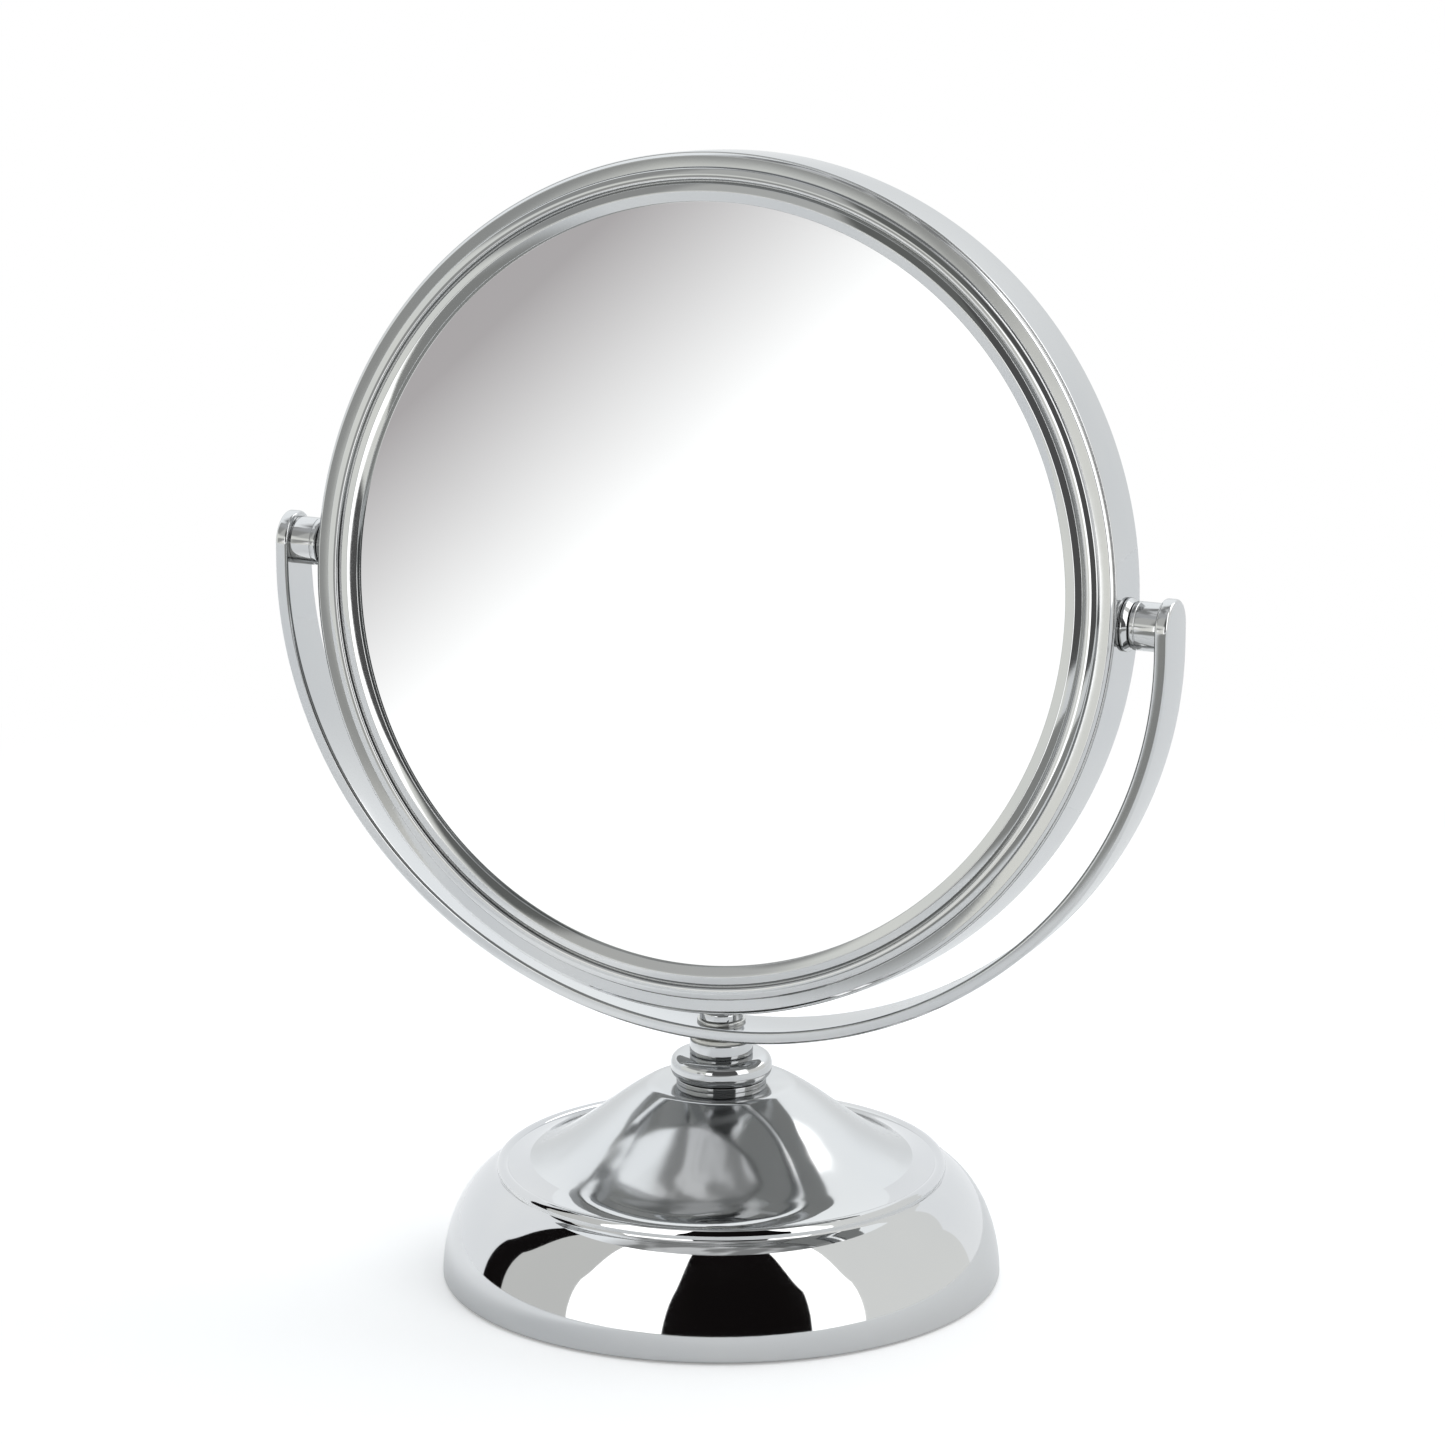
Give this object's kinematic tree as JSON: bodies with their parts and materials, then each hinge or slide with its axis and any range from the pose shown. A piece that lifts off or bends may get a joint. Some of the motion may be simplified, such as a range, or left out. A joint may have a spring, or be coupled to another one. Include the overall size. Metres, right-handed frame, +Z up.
{
  "type": "tabletop flip mirror",
  "caption": "Round two-sided mirror that flips between the arms of a U-shaped flat-bar yoke, on a short turned neck and a weighted bell-shaped base.",
  "frame": {"origin": "centre of the base on the surface that the rubber pads stand on", "axes": "+Z up, -Y towards the front glass, +X to the viewer's right along the head's pivot axis"},
  "size_m": [0.228, 0.1348, 0.2739],
  "materials": {
    "polished_chrome": "bright polished chrome plate",
    "silvered_glass": "back-silvered float glass, polished edges",
    "zinc_plated_steel": "bright zinc plate, hidden fasteners",
    "cast_iron": "rough casting",
    "white_nylon": "natural nylon",
    "black_plastic": "fine moulded texture",
    "rubber_pad": "soft matte rubber",
    "foam_strip": "closed-cell foam"
  },
  "bodies": {
    "base": {"base_shell": "polished_chrome", "ballast_disc": "cast_iron", "bottom_cover": "black_plastic", "cover_screw_1": "zinc_plated_steel", "cover_screw_2": "zinc_plated_steel", "cover_screw_3": "zinc_plated_steel", "foot_pad_1": "rubber_pad", "foot_pad_2": "rubber_pad", "foot_pad_3": "rubber_pad", "foot_pad_4": "rubber_pad", "stem_nut": "zinc_plated_steel", "stem_spring_washer": "zinc_plated_steel", "stem_stud": "zinc_plated_steel", "seat_ring": "polished_chrome", "neck_collar": "polished_chrome", "neck_sleeve": "polished_chrome", "glide_washer": "white_nylon", "cap_washer": "zinc_plated_steel", "cap_nut": "polished_chrome"},
    "yoke": {"yoke": "polished_chrome", "pivot_boss_left": "polished_chrome", "pivot_boss_right": "polished_chrome", "pivot_screw_left": "zinc_plated_steel", "pivot_screw_right": "zinc_plated_steel"},
    "mirror_head": {"outer_band": "polished_chrome", "front_bezel": "polished_chrome", "rear_bezel": "polished_chrome", "front_glass": "silvered_glass", "rear_glass": "silvered_glass", "front_gasket": "foam_strip", "rear_gasket": "foam_strip", "foam_disc": "foam_strip", "spacer_ring": "black_plastic", "pivot_flange_left": "polished_chrome", "pivot_flange_right": "polished_chrome", "pivot_bush_left": "white_nylon", "pivot_bush_right": "white_nylon", "pivot_clamp_plate_left": "zinc_plated_steel", "pivot_clamp_plate_right": "zinc_plated_steel", "pivot_wave_washer_left": "zinc_plated_steel", "pivot_wave_washer_right": "zinc_plated_steel"}
  },
  "joints": [
    {"name": "yoke_swivel", "type": "hinge", "parent": "base", "child": "yoke", "pos_m": [0, 0, 0.06], "axis": [0, 0, 1], "continuous": true},
    {"name": "mirror_flip", "type": "hinge", "parent": "yoke", "child": "mirror_head", "pos_m": [0, 0, 0.1719], "axis": [1, 0, 0], "continuous": true}
  ]
}
